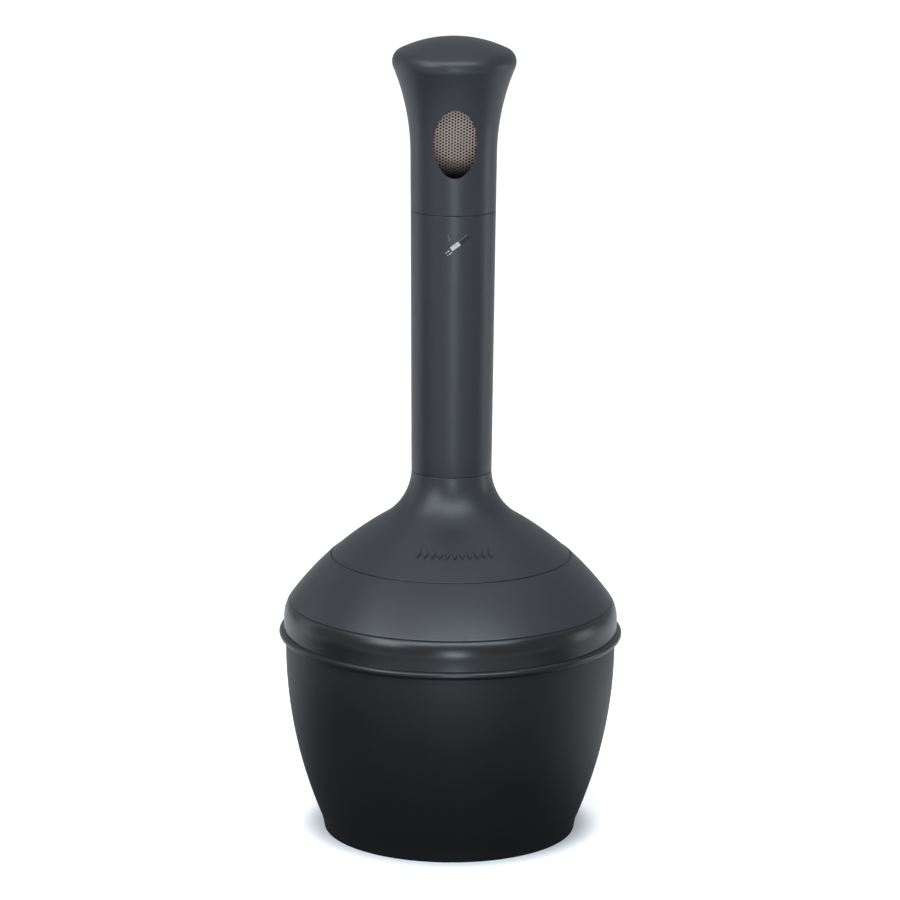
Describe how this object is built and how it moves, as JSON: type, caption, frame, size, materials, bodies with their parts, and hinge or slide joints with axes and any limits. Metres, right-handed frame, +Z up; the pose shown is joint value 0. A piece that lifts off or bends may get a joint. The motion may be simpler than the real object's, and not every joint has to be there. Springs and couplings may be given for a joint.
{
  "type": "smokers receptacle",
  "caption": "Domed ash bin with a tall neck, a flared head with an oval mouth and a snuffing screen, and a pail inside that lifts out once the cover is off.",
  "frame": {"origin": "centre of the foot ring's underside, on the floor", "axes": "+Z up along the neck; -Y is the front, where the mouth is; +X to the viewer's right"},
  "size_m": [0.419, 0.419, 0.978],
  "materials": {
    "tub_black": "satin black moulded polyethylene",
    "cover_charcoal": "satin charcoal moulded polyethylene",
    "stainless": "perforated stainless sheet, mill finish",
    "galvanised": "hot-dip galvanised sheet",
    "zinc": "bright zinc plate",
    "symbol_white": "printed film"
  },
  "bodies": {
    "base": {"base_tub": "tub_black"},
    "cover": {"dome_cover": "cover_charcoal", "neck_tube": "cover_charcoal", "head_shell": "cover_charcoal", "snuff_screen": "stainless", "screen_screw_left": "zinc", "screen_screw_right": "zinc", "neck_screw_left": "zinc", "neck_screw_right": "zinc", "head_screw_left": "zinc", "head_screw_right": "zinc", "cigarette_symbol": "symbol_white"},
    "pail": {"pail_body": "galvanised", "pail_bottom": "galvanised", "pail_ear_left": "galvanised", "pail_ear_right": "galvanised", "ear_rivet_left_1": "zinc", "ear_rivet_left_2": "zinc", "ear_rivet_right_1": "zinc", "ear_rivet_right_2": "zinc"},
    "bail": {"pail_bail": "zinc"}
  },
  "joints": [
    {"name": "cover_lift", "type": "slide", "parent": "base", "child": "cover", "axis": [0, 0, 1], "range_m": [0, 0.7]},
    {"name": "pail_lift", "type": "slide", "parent": "base", "child": "pail", "axis": [0, 0, 1], "range_m": [0, 0.35]},
    {"name": "bail_swing", "type": "hinge", "parent": "pail", "child": "bail", "pos_m": [0, 0, 0.2223], "axis": [-1, 0, 0], "range_deg": [0, 236]}
  ],
  "couplings": [
    {"joint": "pail_lift", "follows": "cover_lift", "ratio": 0.5}
  ]
}
